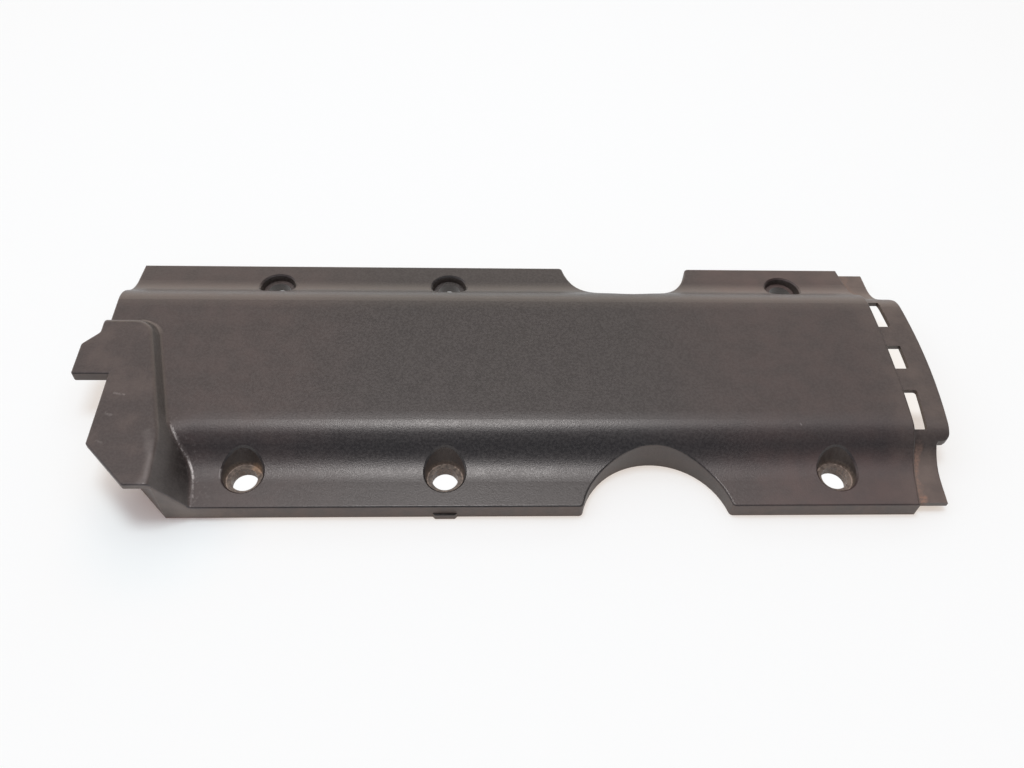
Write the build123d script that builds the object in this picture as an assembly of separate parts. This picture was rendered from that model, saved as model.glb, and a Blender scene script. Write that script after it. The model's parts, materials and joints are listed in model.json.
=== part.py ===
from build123d import *
import os
from math import cos, radians, sin, tan

os.makedirs("parts", exist_ok=True)

# Top cover of a five-cylinder engine, moulded in one piece as a thin shell. Millimetres.
# X runs along the engine, Y across it and Z up.
# The origin is the middle of the screw pattern, on the plane that the screw bosses stand on.

# Screw pattern: screws between cylinders 1 and 2, 2 and 3, and 4 and 5, in two rows
cylinder_pitch = 91.0
screw_row_spacing = 120.0
screw_places = (-1.5, -0.5, 1.5)

# Cross-section of the body: deck, flanks, flanges and skirts
cover_width = 153.4
deck_height = 21.5
deck_width = 88.2
deck_edge_radius = 15.5
flank_angle = 43.5
flank_foot_radius = 23.0
flange_edge_height = 8.3
flange_slope = 5.0
rim_radius = 1.0
least_straight = 0.9
wall = 2.5

# How far the body runs past the outer screws, and the bow of its right end
left_margin = 75.5
right_margin = 39.8
body_end_radius = 600.0
left_corner_inset = 1.6

# Lip at the right end, stepped in from the body by its own thickness
lip_inset = 2.4
lip_thickness = 2.4
lip_length = 19.0
lip_end_radius = 315.0
visor_reach = 9.2
visor_width = 93.0
visor_corner_radius = 4.0
lip_corner_radius = 1.2
lip_rim_radius = 0.8
step_wall = 2.5

# Slots through the lip, from the step outwards: the Y of each slot's middle, and its length
slot_width = 8.1
slot_places = ((32.5, 17.6), (3.0, 15.0), (-29.8, 23.5))
slot_corner_radius = 1.3

# Round cut-outs in the two long sides, beside the gap between cylinders 3 and 4
cutout_place = 0.5
cutout_offset = 5.4
cutout_radius = 34.8
front_cutout_y = -84.0
back_cutout_y = 81.6
cutout_corner_radius = 2.0

# Screw cups: conical recesses with a thick floor that the screw clamps
screw_hole_diameter = 12.0
cup_floor_height = 5.3
cup_floor_diameter = 16.4
cup_draft = 12.0
cup_wall = 2.3
web_thickness = 2.0
cup_mouth_chamfer = 0.7

# Hood over the cable outlet at the left end, with sloping sides and a flat roof
hood_height = 27.2
hood_wall = 3.0
hood_draft = 35.0
hood_far_y = 18.5
hood_bend_offset = 5.9
hood_far_length = 21.6
hood_bend_length = 40.0
hood_near_length = 41.2
hood_corner_radius = 9.0
hood_bend_radius = 40.0
hood_edge_radius = 3.5
hood_foot_radius = 2.5

# Roof plate of the hood, which stands out over the outlet, and the ear at its end
roof_left_inset = 10.2
roof_corner_y = -55.0
roof_near_inset = 30.7
roof_corner_radius = 1.5
overhang = 11.8
side_overhang = 9.0
ear_reach = 7.0
ear_far_y = 10.5
ear_round_y = 3.0
ear_near_y = -15.6
ear_depth = 5.0
ear_rim = 2.2
ear_corner_radius = 2.5
ear_tip_radius = 1.4

# Locating tab on the foot of the front skirt
tab_x = -45.3
tab_length = 10.8
tab_reach = 1.2
tab_height = 3.0
tab_end_chamfer = 1.0

# Heights well below and above the cover, for cuts that run right through
below = -20.0
above = 60.0

half_width = cover_width / 2
hood_bend_y = -deck_width / 2 - hood_bend_offset
body_left_x = screw_places[0] * cylinder_pitch - left_margin
body_end_x = screw_places[-1] * cylinder_pitch + right_margin
lip_end_x = body_end_x + lip_length
lip_flank_x = lip_end_x - visor_reach
cutout_x = cutout_place * cylinder_pitch + cutout_offset


def section(inset, bottom):
    """Outline across the cover, moved in from the outer skin by an inset and closed at a bottom height."""
    slope = tan(radians(flange_slope))
    flank = tan(radians(flank_angle))
    side_y = half_width - inset
    flange_at_side = flange_edge_height - inset / cos(radians(flange_slope)) + inset * slope
    deck_z = deck_height - inset
    flank_at_deck = deck_width / 2 + (inset - inset / cos(radians(flank_angle))) / flank
    foot_y = (deck_z - flange_at_side + flank * flank_at_deck - slope * side_y) / (flank - slope)
    foot_z = flange_at_side + (side_y - foot_y) * slope
    half = [(side_y, bottom), (side_y, flange_at_side), (foot_y, foot_z), (flank_at_deck, deck_z)]
    deck_rounding = (deck_edge_radius - inset) * tan(radians(flank_angle) / 2)
    flank_run = (deck_z - foot_z) / sin(radians(flank_angle)) - deck_rounding
    room = min(flank_run, side_y - foot_y) - least_straight
    widest = room / tan(radians(flank_angle - flange_slope) / 2)
    radii = [0, 0, min(flank_foot_radius + inset, widest), deck_edge_radius - inset]
    points = half + [(-y, z) for y, z in reversed(half)]
    return make_face(FilletPolyline(*points, radius=radii + radii[::-1], close=True))


def along(profile, start_x, end_x):
    """A cross-section carried along X."""
    return extrude(Plane.YZ.offset(start_x) * profile, amount=end_x - start_x)


def upright(plan, bottom=below, top=above):
    """A plan outline carried up Z."""
    return extrude(Pos(0, 0, bottom) * plan, amount=top - bottom)


def plan_polygon(*points):
    """A straight-sided plan outline."""
    return make_face(Polyline(*points, close=True))


def bowed_to(end_x, radius):
    """Plan disc whose right side is the bowed end of the cover."""
    return Pos(end_x - radius, 0) * Circle(radius)


def cutouts(margin):
    """Plan of the two round cut-outs, larger by a margin."""
    front = Pos(cutout_x, front_cutout_y) * Circle(cutout_radius + margin)
    back = Pos(cutout_x, back_cutout_y) * Circle(cutout_radius + margin)
    return front + back


# Plan points of the outlet corner: the roof plate's edges, and the walls set back under them
roof_left_x = body_left_x + roof_left_inset
roof_near_x = body_left_x + roof_near_inset
ear_x = body_left_x - ear_reach
outlet_x = roof_left_x + side_overhang
outlet_near_x = roof_near_x + overhang
roof_slant = (half_width + roof_corner_y) / (roof_near_x - roof_left_x)


def walls_plan():
    """Plan of the walls that reach the base, with the outlet at the left and the two cut-outs."""
    corner_y = -half_width + (outlet_near_x - outlet_x) * roof_slant
    outline = plan_polygon(
        (body_left_x, deck_width / 2),
        (body_left_x + left_corner_inset, half_width),
        (body_end_x, half_width),
        (body_end_x, -half_width),
        (outlet_near_x, -half_width),
        (outlet_x, corner_y),
        (outlet_x, ear_near_y),
        (body_left_x, ear_near_y),
    )
    outline = (outline & bowed_to(body_end_x, body_end_radius)) - cutouts(0)
    sides = outline.vertices().filter_by(lambda v: abs(v.Y) > half_width - wall)
    mouths = sides.filter_by(lambda v: abs(v.X - cutout_x) < cutout_radius)
    return fillet(mouths, cutout_corner_radius)


def hollow_plan():
    """Plan of the hollow inside those walls, running out at the open left end."""
    side_y = half_width - wall
    open_x = body_left_x - ear_reach
    near_x = outlet_near_x + wall * ((1 + roof_slant ** 2) ** 0.5 - 1) / roof_slant
    outline = plan_polygon(
        (open_x, side_y),
        (body_end_x, side_y),
        (body_end_x, -side_y),
        (near_x, -side_y),
        (open_x, -side_y + (near_x - open_x) * roof_slant),
    )
    return (outline & bowed_to(body_end_x - step_wall, body_end_radius)) - cutouts(wall)


def hood_block(inset, bottom, top):
    """Sloping block of the hood, moved in by an inset, between two heights."""
    bend_x = body_left_x + hood_bend_length
    past_front = (hood_bend_y + cover_width) / (hood_bend_y + half_width)
    outline = FilletPolyline(
        (body_left_x - hood_far_length, hood_far_y),
        (body_left_x + hood_far_length, hood_far_y),
        (bend_x, hood_bend_y),
        (bend_x + (hood_near_length - hood_bend_length) * past_front, -cover_width),
        (body_left_x - hood_far_length, -cover_width),
        radius=[0, hood_corner_radius, hood_bend_radius, 0, 0],
        close=True,
    )
    spread = (hood_height - bottom) * tan(radians(hood_draft)) - inset / cos(radians(hood_draft))
    foot = offset(make_face(outline), spread, kind=Kind.INTERSECTION)
    return extrude(Pos(0, 0, bottom) * foot, amount=top - bottom, taper=hood_draft)


def roof_plan():
    """Plan of the hood's roof: the slanted corner, the notch and the ear. Its other sides are the slopes."""
    corners = (
        (body_left_x, half_width, 0),
        (body_left_x, ear_far_y, ear_corner_radius),
        (ear_x, ear_round_y, ear_corner_radius),
        (ear_x, ear_near_y, ear_tip_radius),
        (roof_left_x, ear_near_y, 0),
        (roof_left_x, roof_corner_y, roof_corner_radius),
        (roof_near_x, -half_width, roof_corner_radius),
        (0, -half_width, 0),
        (0, half_width, 0),
    )
    points = [(x, y) for x, y, radius in corners]
    return make_face(FilletPolyline(*points, radius=[radius for x, y, radius in corners], close=True))


def ear_frame():
    """Closed rim that hangs below the ear."""
    around = Rectangle(2 * (roof_left_x - ear_x), 2 * (ear_far_y - ear_near_y))
    ear = roof_plan() & Pos(ear_x, ear_near_y) * around
    return upright(ear - offset(ear, -ear_rim), hood_height - ear_depth, hood_height - hood_wall)


def lip():
    """Stepped lip past the body's right end, with its visor, before it is hollowed."""
    bottom = flange_edge_height - lip_inset - lip_thickness
    strip = plan_polygon(
        (body_left_x, half_width),
        (lip_flank_x, half_width),
        (lip_flank_x, -half_width),
        (body_left_x, -half_width),
    )
    visor = plan_polygon(
        (body_left_x, visor_width / 2),
        (lip_end_x, visor_width / 2),
        (lip_end_x, -visor_width / 2),
        (body_left_x, -visor_width / 2),
    )
    visor = visor & bowed_to(lip_end_x, lip_end_radius)
    visor = fillet(visor.vertices().group_by(Axis.X)[-1], visor_corner_radius)
    outline = strip + visor
    corners = outline.vertices().filter_by(lambda v: abs(v.Y) < half_width - wall)
    outline = fillet(corners.group_by(Axis.X)[0], lip_corner_radius)
    past_step = outline - bowed_to(body_end_x - step_wall, body_end_radius)
    solid = along(section(lip_inset, bottom), 0, lip_end_x + step_wall) & upright(past_step)
    top = solid.faces().filter_by(Axis.Z).sort_by(Axis.Z)[-1]
    solid = fillet(top.edges().sort_by(Axis.X)[-1], lip_rim_radius)
    for middle_y, length in slot_places:
        opening = Pos(body_end_x, middle_y) * Rectangle(2 * lip_length, length)
        opening = opening & bowed_to(body_end_x + slot_width, lip_end_radius)
        opening = fillet(opening.vertices().group_by(Axis.X)[-1], slot_corner_radius)
        solid = solid - upright(opening)
    return solid


def cup_cut():
    """Conical recess of a screw cup and the screw hole below it."""
    depth = above - cup_floor_height
    floor_radius = cup_floor_diameter / 2
    mouth_radius = floor_radius + depth * tan(radians(cup_draft))
    recess = Pos(0, 0, cup_floor_height + depth / 2) * Cone(floor_radius, mouth_radius, depth)
    return recess + Cylinder(screw_hole_diameter / 2, above)


def cup_boss():
    """Wall and floor of a screw cup, with the web that ties it to the skirt."""
    foot_radius = cup_floor_diameter / 2 + cup_wall
    top_radius = foot_radius + above * tan(radians(cup_draft))
    boss = Pos(0, 0, above / 2) * Cone(foot_radius, top_radius, above)
    web_reach = half_width - screw_row_spacing / 2
    web = Pos(0, web_reach / 2, above / 2) * Box(web_thickness, web_reach, above)
    return boss + web


def tab():
    """Locating tab with chamfered ends on the foot of the front skirt."""
    reach = tab_reach + wall
    middle_y = -half_width - tab_reach + reach / 2
    block = Pos(tab_x, middle_y, tab_height / 2) * Box(tab_length, reach, tab_height)
    front_corners = block.edges().filter_by(Axis.Z).group_by(Axis.Y)[0]
    return chamfer(front_corners, tab_end_chamfer)


screw_spots = [
    Pos(place * cylinder_pitch, side * screw_row_spacing / 2) * Rot(0, 0, 90 - side * 90)
    for place in screw_places
    for side in (1, -1)
]

# Outer form: the body and the hood that rises from it
plan = walls_plan()
body = along(section(0, 0), body_left_x, body_end_x) & upright(plan)
hood = hood_block(0, 0, hood_height)
hood = fillet(hood.faces().sort_by(Axis.Z)[-1].edges(), hood_edge_radius)
hood = hood & (upright(plan, 0) + upright(roof_plan(), hood_height - hood_wall))
outer = body + hood
outer = fillet(new_edges(body, hood, combined=outer), hood_foot_radius)

# Round the rim: along the flanges, round the cut-outs, over both ends and round the roof plate
flange_rims = outer.edges().filter_by(Axis.X)
flange_rims = flange_rims.filter_by(lambda e: abs(e.center().Z - flange_edge_height) < wall)
deck = outer.faces().filter_by(lambda f: f.normal_at().Z > 0.99).sort_by(SortBy.AREA)[-1]
deck_rims = deck.edges().sort_by(Axis.X)
outer = fillet([*flange_rims, deck_rims[0], deck_rims[-1]], rim_radius)

# Hollow below the skin, which leaves the walls round the cut-outs standing
hollow = along(section(wall, below), body_left_x - ear_reach, body_end_x)
hollow = hollow + hood_block(wall, below, hood_height - hood_wall)
shell = outer - (hollow & upright(hollow_plan()))

# Screw cups hang below the flanges, and their walls end inside the skin
inside_skin = along(section(wall / 2, 0), body_left_x, body_end_x)
for spot in screw_spots:
    shell = shell + (spot * cup_boss() & inside_skin)

# Lip past the right end, hollowed together with the step
end_bow = body_end_radius - (body_end_radius ** 2 - half_width ** 2) ** 0.5
lip_hollow_x = body_end_x - 2 * step_wall - end_bow
shell = shell + lip()
shell = shell - along(section(lip_inset + lip_thickness, below), lip_hollow_x, lip_end_x + step_wall)

# Bore the cups and ease their mouths
for spot in screw_spots:
    cup = spot * cup_cut()
    bored = shell - cup
    edges = new_edges(shell, cup, combined=bored)
    mouth = edges.filter_by(lambda e: e.center().Z > cup_floor_height + wall)
    shell = chamfer(mouth, cup_mouth_chamfer)

engine_cover = shell + ear_frame() + tab()
export_step(engine_cover, "parts/engine_cover.step")
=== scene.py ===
"""Engine cover lying on a white table, seen from above its front edge.

Metres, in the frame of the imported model: X along the cover from the hood to the lip, Y across it, Z up.
"""
import json
from math import cos, pi, radians, sin

import bpy
from mathutils import Matrix, Vector

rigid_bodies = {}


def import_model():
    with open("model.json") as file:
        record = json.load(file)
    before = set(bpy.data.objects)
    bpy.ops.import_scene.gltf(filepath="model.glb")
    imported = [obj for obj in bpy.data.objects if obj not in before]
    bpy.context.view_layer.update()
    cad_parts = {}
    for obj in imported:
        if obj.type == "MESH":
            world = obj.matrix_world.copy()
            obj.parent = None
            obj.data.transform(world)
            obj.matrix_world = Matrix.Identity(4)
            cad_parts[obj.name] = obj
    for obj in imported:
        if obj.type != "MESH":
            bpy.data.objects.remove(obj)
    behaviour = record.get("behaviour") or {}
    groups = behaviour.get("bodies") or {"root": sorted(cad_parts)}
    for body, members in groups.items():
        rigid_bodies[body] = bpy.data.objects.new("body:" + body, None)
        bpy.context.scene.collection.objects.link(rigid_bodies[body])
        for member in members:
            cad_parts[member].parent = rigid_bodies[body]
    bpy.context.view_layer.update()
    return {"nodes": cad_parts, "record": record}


for leftover in list(bpy.data.objects):
    bpy.data.objects.remove(leftover)

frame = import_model()
cover = frame["nodes"]["engine_cover"]

# A value that goes to a fade is a pair, where the change begins and ends, or four numbers, which add the
# amounts before and after it.

# Camera, fitted to the screw holes and the long edges
PHOTO_WIDTH = 1024
FOCAL_PIXELS = 900.0
SENSOR_WIDTH = 36.0
CLIP_START = 0.01
CAMERA_PLACE = Vector((-0.0341, -0.2868, 0.3547))
CAMERA_PITCH = radians(50.91)
CAMERA_YAW = radians(4.23)
CAMERA_ROLL = radians(-3.40)

# Screw holes, from the record's bolt patterns, and the edge of the cup floors round them
MOUNTS = {mount["name"]: mount for mount in frame["record"]["mounts"]}
CORNER = MOUNTS["corner_screws"]["dims"]
MIDDLE_X = MOUNTS["middle_screws"]["pos_m"][0]
HALF_X = CORNER["spacing_x_mm"] / 2000
HALF_Y = CORNER["spacing_y_mm"] / 2000
HOLE_RADIUS = CORNER["hole_r_mm"] / 1000
HOLE_RIM = 0.0008
HOLE_EDGE = (HOLE_RADIUS, HOLE_RADIUS + HOLE_RIM)
FLOOR_RADIUS = 0.0081

# Shape of the cover that the dirt follows: its near and far sides, the step at the right end, the hood's roof
# and the ear beside it
NEAR_TO_FAR = (-0.02, 0.02)
STEP_X = 0.1763
STEP_RADIUS = 0.600
ROOF_HEIGHT = 0.0272
ROOF_DEPTH = 0.0015
EAR_X = -0.198
EAR_BLEND = 0.002

# Slight hollow of the flanks in the bump: where the deck, flank and flange meet, its depth and its slopes
DECK_END = 0.0325
FLANK_MIDDLE = 0.0495
FOOT_START = 0.0475
FLANGE_START = 0.0587
FLANK_BLEND = 0.010
FLANK_DEPTH = 0.0015
FOOT_RISE = 0.148
FLANGE_FALL = 0.112
HOOD_END = (-0.172, -0.158)

# Soft lamp above the cover, a little beyond it
LAMP_AIM = Vector((-0.060, -0.045, 0.02))
LAMP_ELEVATION = radians(83)
LAMP_DISTANCE = 1.6
LAMP_SIZE = (0.50, 0.44)
LAMP_POWER = 10.0

# Brightness of the room from the far horizon over the top to the horizon behind the camera, as degrees and
# strength, warmer to cooler, dimmed on the right, with a white backdrop near the horizon
HALF_TURN = 180
ROOM = ((0, 1.60), (16, 1.55), (28, 1.28), (38, 0.80), (47, 0.44), (54, 0.95), (66, 1.28), (84, 1.10),
        (96, 0.72), (108, 0.36), (126, 0.27), (150, 0.24), (HALF_TURN, 0.26))
ROOM_TOP = 1.7
FAR_TINT = Vector((1.10, 0.96, 0.83))
NEAR_TINT = Vector((0.86, 0.95, 1.22))
SIDE_REACH = (0.45, 0.75)
SIDE_DIM = 0.15
BACKDROP_HEIGHT = (0.15, 0.27)
BACKDROP_REACH = (0.0, 0.5)
HORIZON_HEIGHT = (0.07, 0.15)

# Table: matt, with a little warmth of its own in the shadows, and white far away. Painted shade beside the
# hood, where less glow leaves the cover's shadow deeper; painted light below the lip and in the screw holes,
# lifting it to white
TABLE_SIZE = 60.0
TABLE_DROP = 0.0001
TABLE_COLOUR = (0.345, 0.45, 0.52, 1)
TABLE_GLOW = (0.622, 0.532, 0.457, 1)
# Painted shade beside the hood: less glow there, so the cover's shadow is deeper
HOOD_SHADE_COLOUR = (0.80, 0.93, 0.955, 1)
HOOD_SHADE_GLOW = (0.145, 0.07, 0.04, 1)
HOOD_FOOT = (-0.172, -0.080, 0.0)
HOOD_SHADE_REACH = (0.015, 0.050)
# Painted light below the lip: a glow near white there, which lifts the cover's shadow
LIP_LIGHT_COLOUR = (0.06, 0.13, 0.20, 1)
LIP_LIGHT_GLOW = (0.92, 0.855, 0.787, 1)
LIP_FOOT = ((0.1915, -0.012, 0.0), (0.1915, 0.060, 0.0))
LIP_LIGHT_REACH = (0.003, 0.010)
BLACK = (0, 0, 0, 1)
WHITE = (1, 1, 1, 1)
WHITE_REACH = (0.5, 1.5)

# Plastic: its colour between the specks, its sheen, its fine grain and the patches that the dirt lies in
PLASTIC_LOW = (0.0148, 0.0138, 0.0134, 1)
PLASTIC_HIGH = (0.0300, 0.0280, 0.0268, 1)
PLASTIC_SPECKS = (0.36, 0.64)
SPECULAR = 0.71
SPECULAR_TINT = (1.0, 0.955, 0.93, 1)
ROUGH_SPECKS = (0.3, 0.7, 0.29, 0.37)
ROUGH_PATCHES = (0.3, 0.7, 0.01, 0.045)
DIRT_ROUGHNESS = 0.35
GRAIN_SCALE = 1500
GRAIN_ROUGHNESS = 0.6
GRAIN_STRENGTH = 0.5
GRAIN_DEPTH = 0.00015
SPECK_SCALE = 850
PATCH_SCALE = 90
PATCH_DETAIL = 3

# Film of dust on what faces up: thin over a clean stretch of the deck, thick on the right flanges
FILM = (0.070, 0.042, 0.037, 1)
FILM_FACING = (0.4, 0.95)
FILM_PATCHES = (0.3, 0.7, 0.30, 0.50)
CLEAN_X = -0.015
CLEAN_REACH = (0.05, 0.13, 0.12, 1.0)
DUSTY_X = (0.05, 0.13)
DUSTY_SIDE = (0.045, 0.058)
DUSTY_GAIN = 1.9

# Pale dust on the floors of the cups, little on the far ones, on the lip's top and flanks, and on the roof
DUST = (0.235, 0.185, 0.145, 1)
FLOOR_REACH = (0.0086, 0.0096)
FLOOR_TOP = (0.0065, 0.009)
FLOOR_SPECKS = (0.38, 0.62, 0.3, 0.75)
FAR_FLOOR = 0.08
LIP_TOP = (-0.020, 0.012)
LIP_TOP_SHARE = 0.15
LIP_FLANK = (-0.0015, 0.0005)
LIP_FLANK_SIDE = (0.043, 0.053)
LIP_FLANK_SHARE = 0.30
LIP_PATCHES = (0.35, 0.7, 0.6, 1.3)
ROOF_PATCHES = (0.4, 0.75, 0.0, 0.08)

# Paler dust on the walls of the near screw holes, with painted light that lifts their shade, and in a thin
# ring round the floors of their cups
BORE_DUST_AND_LIGHT = (0.600, 0.465, 0.375, 1)
BORE_SHARE = 0.9
BORE_FACING = (0.2, 0.7)
BORE_SPECKS = (0.38, 0.62, 0.4, 1.0)
RING_WIDTH = (0.0001, 0.0005)
RING_TOP = (0.0058, 0.0066)
RING_SHARE = 0.45

# Reddish dust on upright walls: more on the skirts and the ear, less in the cups and on the far side
RUST_DUST = (0.225, 0.162, 0.130, 1)
UPRIGHT_ABOVE = (-0.6, -0.2)
UPRIGHT_BELOW = (0.25, 0.6)
RUST_PATCHES = (0.3, 0.7, 0.28, 0.52)
EAR_GAIN = 1.7
SKIRT_SIDE = (0.0755, 0.0765)
SKIRT_GAIN = 2.0
CUP_REACH = (0.014, 0.017)
CUP_RUST = 0.5
FAR_RUST = 0.6

# Orange smear at the foot of the step, on the flanks
SMEAR = (0.300, 0.155, 0.100, 1)
SMEAR_START = (0.0, 0.0018)
SMEAR_END = (0.002, 0.005)
SMEAR_WANDER = (0.3, 0.7, -0.0025, 0.0025)
SMEAR_SIDE = (0.044, 0.056)
SMEAR_SPECKS = (0.35, 0.65, 0.3, 0.8)
FAR_SMEAR = 0.3

# Tan stain on the floor of the front left cup
STAIN = (0.400, 0.265, 0.170, 1)
STAIN_PLACE = (-0.1312, -0.0545, 0.0055)
STAIN_REACH = (0.0015, 0.0042)
STAIN_SPECKS = (0.35, 0.6, 0.35, 0.95)

# Pale wear along the near edge of the hood's roof and on the slope below it, and a painted highlight line
# with painted sparkle along the hood's foot
SCUFF_AND_HIGHLIGHT = (0.42, 0.39, 0.37, 1)
RUBBED_EDGE = ((-0.1765, -0.0490, 0.0272), (-0.1722, -0.0630, 0.0272), (-0.1715, -0.0725, 0.0270),
               (-0.1735, -0.0762, 0.0270))
RUBBED_WIDTH = (0.0002, 0.0030)
RUBBED_SHARE = 0.16
RUBBED_PATCHES = (0.3, 0.6, 0.4, 1.0)
SLOPE_EDGE = (*RUBBED_EDGE, (-0.1660, -0.0765, 0.0203), (-0.1604, -0.0767, 0.0115))
SLOPE_WIDTH = (0.0, 0.018)
SLOPE_SHARE = 0.15
SLOPE_FACING = (0.65, 0.9)
SLOPE_PATCHES = (0.3, 0.7, 0.7, 1.1)
# Painted highlight along the hood's foot, as a path
FOOT_HIGHLIGHT_LINE = ((-0.1694, -0.0410, 0.0214), (-0.1679, -0.0442, 0.0204), (-0.1661, -0.0472, 0.0188),
             (-0.1639, -0.0506, 0.0161), (-0.1615, -0.0534, 0.0135), (-0.1601, -0.0558, 0.0119),
             (-0.1588, -0.0587, 0.0106), (-0.1580, -0.0619, 0.0097), (-0.1573, -0.0668, 0.0092),
             (-0.1566, -0.0718, 0.0087))
FOOT_HIGHLIGHT_WIDTH = (0.0001, 0.0006)
FOOT_HIGHLIGHT_SHARE = 0.4
FOOT_HIGHLIGHT_SPECKS = (0.42, 0.6, 0.1, 1.0)
# Painted sparkle beside the hood's foot
SPARKLE_WIDTH = (0.001, 0.010)
SPARKLE_SHARE = 0.10
SPARKLE_SPECKS = (0.58, 0.72)

# Painted glints, which stand for highlights, on the hood's foot and on the rim of the front left cup, as
# path, width and strength
CUP_RIM = ((-0.1463, -0.0580, 0.0107), (-0.1464, -0.0600, 0.0101), (-0.1462, -0.0620, 0.0097))
PAINTED_GLINTS = (
    (FOOT_HIGHLIGHT_LINE[:3], 0.0005, 0.45),
    (CUP_RIM, 0.0007, 0.35),
    (((-0.1605, -0.0550, 0.0123), *FOOT_HIGHLIGHT_LINE[6:8]), 0.0008, 0.90),
)
PAINTED_GLINT_CORE = 0.0001
PAINTED_GLINT_SPECKS = (0.36, 0.5, 0.4, 1.0)

# Scratches on the roof and one on the deck, as start, end, width and strength
SCRATCHES = (
    ((-0.1961, -0.0272, 0.0272), (-0.1914, -0.0281, 0.0272), 0.0006, 0.20),
    ((-0.1968, -0.0386, 0.0272), (-0.1943, -0.0398, 0.0272), 0.0008, 0.14),
    ((-0.1972, -0.0540, 0.0272), (-0.1949, -0.0548, 0.0272), 0.0007, 0.12),
    ((0.1204, -0.0401, 0.0213), (0.1206, -0.0408, 0.0212), 0.0004, 0.30),
)
SCRATCH_CORE = 0.2
SCRATCH_EDGE = 1.4
SCRATCH_SPECKS = (0.3, 0.6, 0.2, 1.0)


class Nodes:
    """A node tree with short calls to add nodes and link them."""

    def __init__(self, tree):
        self.tree = tree
        tree.nodes.clear()

    def add(self, kind, *inputs, **settings):
        """A new node. Inputs are sockets or values in order, and those in named go by their names."""
        node = self.tree.nodes.new("ShaderNode" + kind)
        named = settings.pop("named", {})
        for name, value in settings.items():
            setattr(node, name, value)
        for key, value in [*enumerate(inputs), *named.items()]:
            self.feed(node.inputs[key], value)
        return node

    def feed(self, socket, value):
        """Link a socket to another, or set its value."""
        if isinstance(value, bpy.types.NodeSocket):
            self.tree.links.new(value, socket)
        else:
            socket.default_value = value

    def maths(self, operation, *inputs):
        return self.add("Math", *inputs, operation=operation).outputs[0]

    def times(self, *factors):
        product = factors[0]
        for factor in factors[1:]:
            product = self.maths("MULTIPLY", product, factor)
        return product

    def most(self, *values):
        top = values[0]
        for value in values[1:]:
            top = self.maths("MAXIMUM", top, value)
        return top

    def absolute(self, value):
        return self.maths("ABSOLUTE", value)

    def vector(self, operation, *inputs):
        return self.add("VectorMath", *inputs, operation=operation)

    def split(self, place):
        """The three coordinates of a place."""
        return self.add("SeparateXYZ", place).outputs

    def flat(self, place):
        """A place moved straight down to the base plane."""
        return self.vector("MULTIPLY", place, (1, 1, 0)).outputs[0]

    def distance(self, place, point):
        return self.vector("DISTANCE", place, point).outputs["Value"]

    def fade(self, value, low, high, from_value=0.0, to_value=1.0):
        """A smooth step of a value between two limits."""
        node = self.add("MapRange", value, low, high, from_value, to_value, interpolation_type="SMOOTHSTEP")
        return node.outputs[0]

    def fade_out(self, value, low, high, share=1.0):
        """A smooth step from a share down to nothing."""
        return self.fade(value, low, high, share, 0.0)

    def mix(self, factor, first, second):
        """One colour turning into another."""
        node = self.add("Mix", data_type="RGBA")
        first_colour, second_colour = node.inputs[6:8]
        self.feed(node.inputs["Factor"], factor)
        self.feed(first_colour, first)
        self.feed(second_colour, second)
        return node.outputs[2]

    def noise(self, place, scale, detail=2.0, roughness=0.5):
        named = {"Vector": place, "Scale": scale, "Detail": detail, "Roughness": roughness}
        return self.add("TexNoise", named=named).outputs["Fac"]

    def segment_distance(self, place, start, end):
        """Distance of a place from a straight segment."""
        run = Vector(end) - Vector(start)
        offset = self.vector("SUBTRACT", place, start).outputs[0]
        share = self.vector("DOT_PRODUCT", offset, run / run.length_squared).outputs["Value"]
        share = self.add("Clamp", share, 0.0, 1.0).outputs[0]
        along = self.add("VectorMath", run, operation="SCALE", named={"Scale": share}).outputs[0]
        return self.distance(offset, along)

    def path_distance(self, place, points):
        """Distance of a place from a path of straight segments."""
        nearest = 1.0
        for start, end in zip(points, points[1:]):
            nearest = self.maths("MINIMUM", nearest, self.segment_distance(place, start, end))
        return nearest


def new_material(name):
    """An empty material and its nodes."""
    material = bpy.data.materials.new(name)
    material.use_nodes = True
    return material, Nodes(material.node_tree)


def hole_distance(nodes, place):
    """Distance from the axis of the nearest screw hole."""
    nearest = 1.0
    flat = nodes.flat(place)
    for x in (-HALF_X, MIDDLE_X, HALF_X):
        for y in (-HALF_Y, HALF_Y):
            nearest = nodes.maths("MINIMUM", nearest, nodes.distance(flat, (x, y, 0)))
    return nearest


def past_step(nodes, place):
    """Distance past the bowed step at the right end, where the lip begins."""
    away = nodes.distance(nodes.flat(place), (STEP_X - STEP_RADIUS, 0, 0))
    return nodes.maths("SUBTRACT", away, STEP_RADIUS)


def make_camera():
    """The camera at the photograph's place and angle."""
    level_share = cos(CAMERA_PITCH)
    forward = Vector((sin(CAMERA_YAW) * level_share, cos(CAMERA_YAW) * level_share, -sin(CAMERA_PITCH)))
    level = Vector((cos(CAMERA_YAW), -sin(CAMERA_YAW), 0))
    below = forward.cross(level)
    right = level * cos(CAMERA_ROLL) + below * sin(CAMERA_ROLL)
    down = below * cos(CAMERA_ROLL) - level * sin(CAMERA_ROLL)
    data = bpy.data.cameras.new("camera")
    data.sensor_width = SENSOR_WIDTH
    data.lens = FOCAL_PIXELS / PHOTO_WIDTH * SENSOR_WIDTH
    data.clip_start = CLIP_START
    camera = bpy.data.objects.new("camera", data)
    bpy.context.collection.objects.link(camera)
    turn = Matrix((right, -down, -forward)).transposed().to_4x4()
    camera.matrix_world = Matrix.Translation(CAMERA_PLACE) @ turn
    bpy.context.scene.camera = camera


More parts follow.
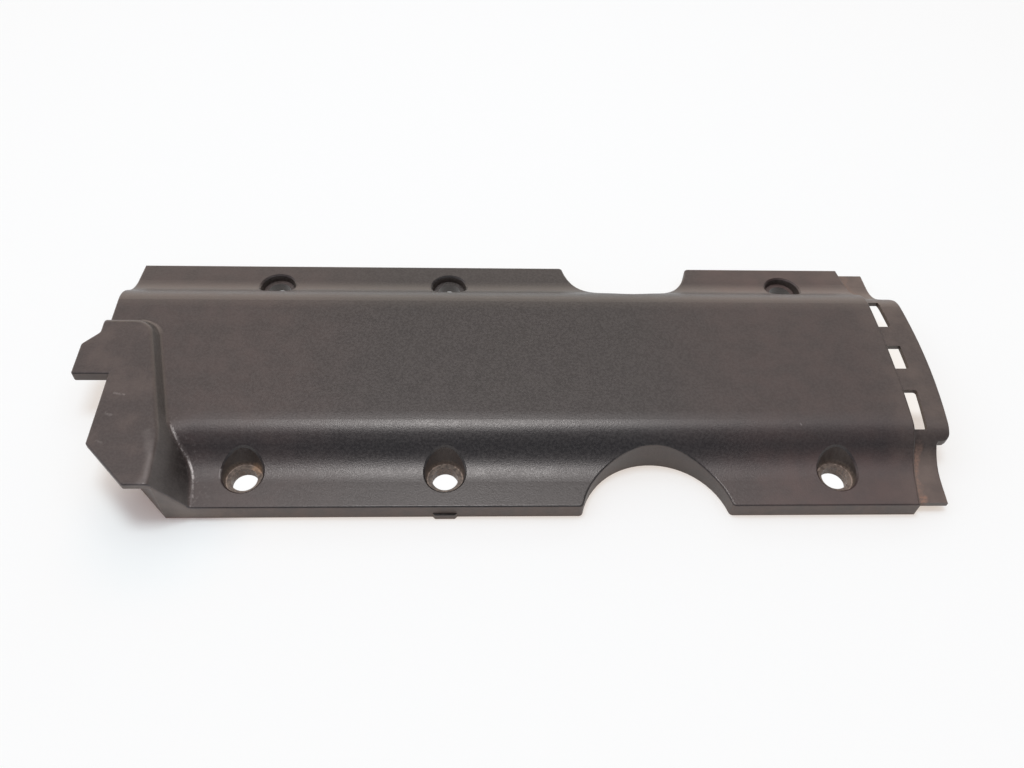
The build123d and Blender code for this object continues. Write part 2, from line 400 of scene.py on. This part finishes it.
def make_room():
    """Room that is bright beyond the table and overhead and dark behind the camera, with a white backdrop."""
    world = bpy.data.worlds.new("room")
    bpy.context.scene.world = world
    world.use_nodes = True
    nodes = Nodes(world.node_tree)
    direction = nodes.split(nodes.add("TexCoord").outputs["Generated"])
    turn = nodes.maths("ARCTAN2", nodes.most(direction["Z"], 0.0), direction["Y"])
    ramp = nodes.add("ValToRGB", nodes.maths("DIVIDE", turn, pi))
    ramp.color_ramp.interpolation = "EASE"
    stops = ramp.color_ramp.elements
    while len(stops) < len(ROOM):
        stops.new(0.5)
    for stop, (angle, strength) in zip(stops, ROOM):
        tint = FAR_TINT.lerp(NEAR_TINT, angle / HALF_TURN)
        stop.position = angle / HALF_TURN
        stop.color = (*(tint * strength / ROOM_TOP), 1)
    dimmed = nodes.fade(direction["X"], *SIDE_REACH)
    strength = nodes.fade(dimmed, 0.0, 1.0, ROOM_TOP, ROOM_TOP * SIDE_DIM)
    light = nodes.add("Background", ramp.outputs["Color"], strength).outputs[0]
    white = nodes.add("Background", WHITE, 1.0).outputs[0]
    backdrop = nodes.fade_out(direction["Z"], *BACKDROP_HEIGHT)
    behind_camera = nodes.fade_out(direction["Y"], *BACKDROP_REACH)
    horizon = nodes.fade_out(direction["Z"], *HORIZON_HEIGHT)
    shown = nodes.most(nodes.times(backdrop, behind_camera), nodes.times(horizon, dimmed))
    nodes.add("OutputWorld", nodes.add("MixShader", shown, light, white).outputs[0])


def make_lamp():
    """Soft lamp above the cover."""
    data = bpy.data.lights.new("lamp", "AREA")
    data.shape = "RECTANGLE"
    data.size, data.size_y = LAMP_SIZE
    data.energy = LAMP_POWER
    lamp = bpy.data.objects.new("lamp", data)
    bpy.context.collection.objects.link(lamp)
    lamp.location = LAMP_AIM + Vector((0, cos(LAMP_ELEVATION), sin(LAMP_ELEVATION))) * LAMP_DISTANCE
    lamp.rotation_euler = (LAMP_AIM - lamp.location).to_track_quat("-Z", "Y").to_euler()


def make_table():
    """White table top, which keeps the cover's shadow, with painted shade beside the hood and painted light
    below the lip and in the screw holes.
    """
    bpy.ops.mesh.primitive_plane_add(size=TABLE_SIZE, location=(0, 0, -TABLE_DROP))
    table = bpy.context.object
    table.name = "table"
    material, nodes = new_material("table_white")
    place = nodes.add("TexCoord").outputs["Object"]
    # Painted shade beside the hood's outlet, painted light below the lip and in the screw holes
    past_hood_shade = nodes.fade(nodes.distance(place, HOOD_FOOT), *HOOD_SHADE_REACH)
    past_lip_light = nodes.fade(nodes.segment_distance(place, *LIP_FOOT), *LIP_LIGHT_REACH)
    far_away = nodes.fade(nodes.vector("LENGTH", place).outputs["Value"], *WHITE_REACH)
    painted_light_in_hole = nodes.fade_out(hole_distance(nodes, place), *HOLE_EDGE)
    white = nodes.most(far_away, painted_light_in_hole)
    colour = nodes.mix(past_lip_light, LIP_LIGHT_COLOUR, nodes.mix(past_hood_shade, HOOD_SHADE_COLOUR, TABLE_COLOUR))
    glow = nodes.mix(past_lip_light, LIP_LIGHT_GLOW, nodes.mix(past_hood_shade, HOOD_SHADE_GLOW, TABLE_GLOW))
    path = nodes.add("LightPath").outputs
    seen = nodes.most(path["Is Camera Ray"], path["Is Glossy Ray"], path["Is Transmission Ray"])
    matt = nodes.add("BsdfDiffuse", nodes.mix(white, colour, BLACK)).outputs[0]
    glowing = nodes.add("Emission", nodes.mix(white, glow, WHITE), seen).outputs[0]
    nodes.add("OutputMaterial", nodes.add("AddShader", matt, glowing).outputs[0])
    table.data.materials.append(material)


def film_amount(nodes, place, facing, patches):
    """Thin film of warm dust on whatever faces up, thin in the middle and thick on the right flanges."""
    coordinates = nodes.split(place)
    from_clean = nodes.absolute(nodes.maths("SUBTRACT", coordinates["X"], CLEAN_X))
    share = nodes.times(nodes.fade(facing, *FILM_FACING), nodes.fade(from_clean, *CLEAN_REACH))
    on_flange = nodes.fade(nodes.absolute(coordinates["Y"]), *DUSTY_SIDE)
    dusty = nodes.times(nodes.fade(coordinates["X"], *DUSTY_X), on_flange)
    gain = nodes.fade(dusty, 0.0, 1.0, 1.0, DUSTY_GAIN)
    return nodes.times(share, gain, nodes.fade(patches, *FILM_PATCHES))


def dust_amount(nodes, place, specks, patches):
    """Pale dust on the floors of the cups, on the lip and a little on the hood's roof."""
    y, z = nodes.split(place)[1:]
    floor = nodes.fade_out(hole_distance(nodes, place), *FLOOR_REACH)
    floor = nodes.times(floor, nodes.fade_out(z, *FLOOR_TOP))
    near = nodes.fade(y, *NEAR_TO_FAR, 1.0, FAR_FLOOR)
    cups = nodes.times(floor, near, nodes.fade(specks, *FLOOR_SPECKS))
    past = past_step(nodes, place)
    on_flank = nodes.fade(nodes.absolute(y), *LIP_FLANK_SIDE)
    lip_top = nodes.times(nodes.fade(past, *LIP_TOP), LIP_TOP_SHARE)
    lip_flank = nodes.times(nodes.fade(past, *LIP_FLANK), on_flank, LIP_FLANK_SHARE)
    lip = nodes.times(nodes.most(lip_top, lip_flank), nodes.fade(patches, *LIP_PATCHES))
    on_roof = nodes.fade(z, ROOF_HEIGHT - ROOF_DEPTH, ROOF_HEIGHT)
    roof = nodes.times(on_roof, nodes.fade(patches, *ROOF_PATCHES))
    return nodes.most(cups, lip, roof)


def bore_dust_and_light_amount(nodes, place, facing, specks):
    """Paler dust on the walls of the near screw holes, with painted light that lifts their shade, and in a
    thin ring round the floors of their cups.
    """
    y, z = nodes.split(place)[1:]
    away = hole_distance(nodes, place)
    # Painted light: the walls of the near screw holes, which lie in shade, are made paler, on top of their
    # dust
    walls = nodes.times(nodes.fade_out(away, *HOLE_EDGE, BORE_SHARE), nodes.fade_out(facing, *BORE_FACING))
    from_ring = nodes.absolute(nodes.maths("SUBTRACT", away, FLOOR_RADIUS))
    ring = nodes.times(nodes.fade_out(from_ring, *RING_WIDTH, RING_SHARE), nodes.fade_out(z, *RING_TOP))
    near = nodes.fade_out(y, *NEAR_TO_FAR)
    return nodes.times(nodes.most(walls, ring), near, nodes.fade(specks, *BORE_SPECKS))


def rust_amount(nodes, place, facing, patches):
    """Reddish dust on upright walls, more on the ear and the skirts and less on the far side."""
    coordinates = nodes.split(place)
    upright = nodes.times(nodes.fade(facing, *UPRIGHT_ABOVE), nodes.fade_out(facing, *UPRIGHT_BELOW))
    ear = nodes.fade(coordinates["X"], EAR_X - EAR_BLEND, EAR_X + EAR_BLEND, EAR_GAIN, 1.0)
    skirts = nodes.fade(nodes.absolute(coordinates["Y"]), *SKIRT_SIDE, 1.0, SKIRT_GAIN)
    near = nodes.fade(coordinates["Y"], *NEAR_TO_FAR, 1.0, FAR_RUST)
    cups = nodes.fade(hole_distance(nodes, place), *CUP_REACH, CUP_RUST, 1.0)
    return nodes.times(upright, skirts, near, cups, ear, nodes.fade(patches, *RUST_PATCHES))


def smear_amount(nodes, place, specks, patches):
    """Orange smear at the foot of the step, on the flanks, fainter on the far one."""
    past = past_step(nodes, place)
    y = nodes.split(place)["Y"]
    wander = nodes.maths("ADD", past, nodes.fade(patches, *SMEAR_WANDER))
    strip = nodes.times(nodes.fade(past, *SMEAR_START), nodes.fade_out(wander, *SMEAR_END))
    near = nodes.fade(y, *NEAR_TO_FAR, 1.0, FAR_SMEAR)
    on_flank = nodes.fade(nodes.absolute(y), *SMEAR_SIDE)
    return nodes.times(strip, near, on_flank, nodes.fade(specks, *SMEAR_SPECKS))


def stain_amount(nodes, place, specks):
    """Tan stain in one cup."""
    away = nodes.distance(place, STAIN_PLACE)
    return nodes.times(nodes.fade_out(away, *STAIN_REACH), nodes.fade(specks, *STAIN_SPECKS))


def scuff_and_highlight_amount(nodes, place, facing, specks, patches):
    """Pale rubbed marks on the roof's near edge and the slope below it, scratches, and painted highlights: a
    line and sparkle along the hood's foot, and glints.
    """
    rubbed = nodes.fade_out(nodes.path_distance(place, RUBBED_EDGE), *RUBBED_WIDTH, RUBBED_SHARE)
    rubbed = nodes.times(rubbed, nodes.fade(patches, *RUBBED_PATCHES))
    slope = nodes.fade_out(nodes.path_distance(place, SLOPE_EDGE), *SLOPE_WIDTH, SLOPE_SHARE)
    slope = nodes.times(slope, nodes.fade_out(facing, *SLOPE_FACING), nodes.fade(patches, *SLOPE_PATCHES))
    # Painted highlight: a pale line and sparkle along the hood's foot
    from_foot = nodes.path_distance(place, FOOT_HIGHLIGHT_LINE)
    foot = nodes.fade_out(from_foot, *FOOT_HIGHLIGHT_WIDTH, FOOT_HIGHLIGHT_SHARE)
    foot = nodes.times(foot, nodes.fade(specks, *FOOT_HIGHLIGHT_SPECKS))
    sparkle = nodes.fade_out(from_foot, *SPARKLE_WIDTH, SPARKLE_SHARE)
    sparkle = nodes.times(sparkle, nodes.fade(specks, *SPARKLE_SPECKS))
    marks = nodes.most(rubbed, slope, foot, sparkle)
    # Painted highlights: glints on the hood's foot and the cup's rim
    for path, width, strength in PAINTED_GLINTS:
        glint = nodes.fade_out(nodes.path_distance(place, path), PAINTED_GLINT_CORE, width, strength)
        marks = nodes.most(marks, nodes.times(glint, nodes.fade(specks, *PAINTED_GLINT_SPECKS)))
    for start, end, width, strength in SCRATCHES:
        away = nodes.segment_distance(place, start, end)
        scratch = nodes.fade_out(away, width * SCRATCH_CORE, width * SCRATCH_EDGE, strength)
        marks = nodes.most(marks, nodes.times(scratch, nodes.fade(specks, *SCRATCH_SPECKS)))
    return marks


def crown(nodes, place):
    """Slight hollow of the flanks away from the hood, which turns the deck's edges a little down."""
    coordinates = nodes.split(place)
    side = nodes.absolute(coordinates["Y"])
    past_flank = nodes.maths("SMOOTH_MAX", nodes.maths("SUBTRACT", side, FOOT_START), 0.0, FLANK_BLEND)
    past_foot = nodes.maths("SMOOTH_MAX", nodes.maths("SUBTRACT", side, FLANGE_START), 0.0, FLANK_BLEND)
    rise = nodes.maths("SUBTRACT", nodes.times(past_flank, FOOT_RISE), nodes.times(past_foot, FLANGE_FALL))
    height = nodes.maths("ADD", rise, nodes.fade(side, DECK_END, FLANK_MIDDLE, 0.0, -FLANK_DEPTH))
    clear = nodes.most(nodes.fade(coordinates["X"], *HOOD_END), nodes.fade(coordinates["Y"], *NEAR_TO_FAR))
    return nodes.add("Bump", named={"Strength": clear, "Distance": 1.0, "Height": height}).outputs[0]


def dark_plastic():
    """Dark warm-grey moulded plastic with a fine grain, a satin sheen, dust and light wear, painted
    highlights on the hood's foot and a cup's rim, and painted light on the walls of the near screw holes.
    """
    material, nodes = new_material("dark_plastic_moulded")
    place = nodes.add("TexCoord").outputs["Object"]
    grain = nodes.noise(place, GRAIN_SCALE, roughness=GRAIN_ROUGHNESS)
    specks = nodes.noise(place, SPECK_SCALE)
    patches = nodes.noise(place, PATCH_SCALE, PATCH_DETAIL)
    facing = nodes.split(nodes.add("NewGeometry").outputs["Normal"])["Z"]
    rust = rust_amount(nodes, place, facing, patches)
    smear = smear_amount(nodes, place, specks, patches)
    dust = dust_amount(nodes, place, specks, patches)
    layers = (
        (film_amount(nodes, place, facing, patches), FILM),
        (rust, RUST_DUST),
        (smear, SMEAR),
        (dust, DUST),
        (bore_dust_and_light_amount(nodes, place, facing, specks), BORE_DUST_AND_LIGHT),
        (stain_amount(nodes, place, specks), STAIN),
        (scuff_and_highlight_amount(nodes, place, facing, specks, patches), SCUFF_AND_HIGHLIGHT),
    )
    colour = nodes.mix(nodes.fade(specks, *PLASTIC_SPECKS), PLASTIC_LOW, PLASTIC_HIGH)
    for amount, layer_colour in layers:
        colour = nodes.mix(amount, colour, layer_colour)
    worn = nodes.maths("ADD", nodes.fade(specks, *ROUGH_SPECKS), nodes.fade(patches, *ROUGH_PATCHES))
    dirt = nodes.most(dust, rust, smear)
    rough = nodes.maths("ADD", nodes.times(dirt, DIRT_ROUGHNESS), worn)
    grained = {
        "Strength": GRAIN_STRENGTH,
        "Distance": GRAIN_DEPTH,
        "Height": grain,
        "Normal": crown(nodes, place),
    }
    shaded = {
        "Base Color": colour,
        "Roughness": rough,
        "Specular IOR Level": SPECULAR,
        "Specular Tint": SPECULAR_TINT,
        "Normal": nodes.add("Bump", named=grained).outputs[0],
    }
    nodes.add("OutputMaterial", nodes.add("BsdfPrincipled", named=shaded).outputs[0])
    return material


bpy.context.scene.view_settings.view_transform = "Standard"
make_camera()
make_room()
make_lamp()
make_table()
cover.material_slots[0].material = dark_plastic()
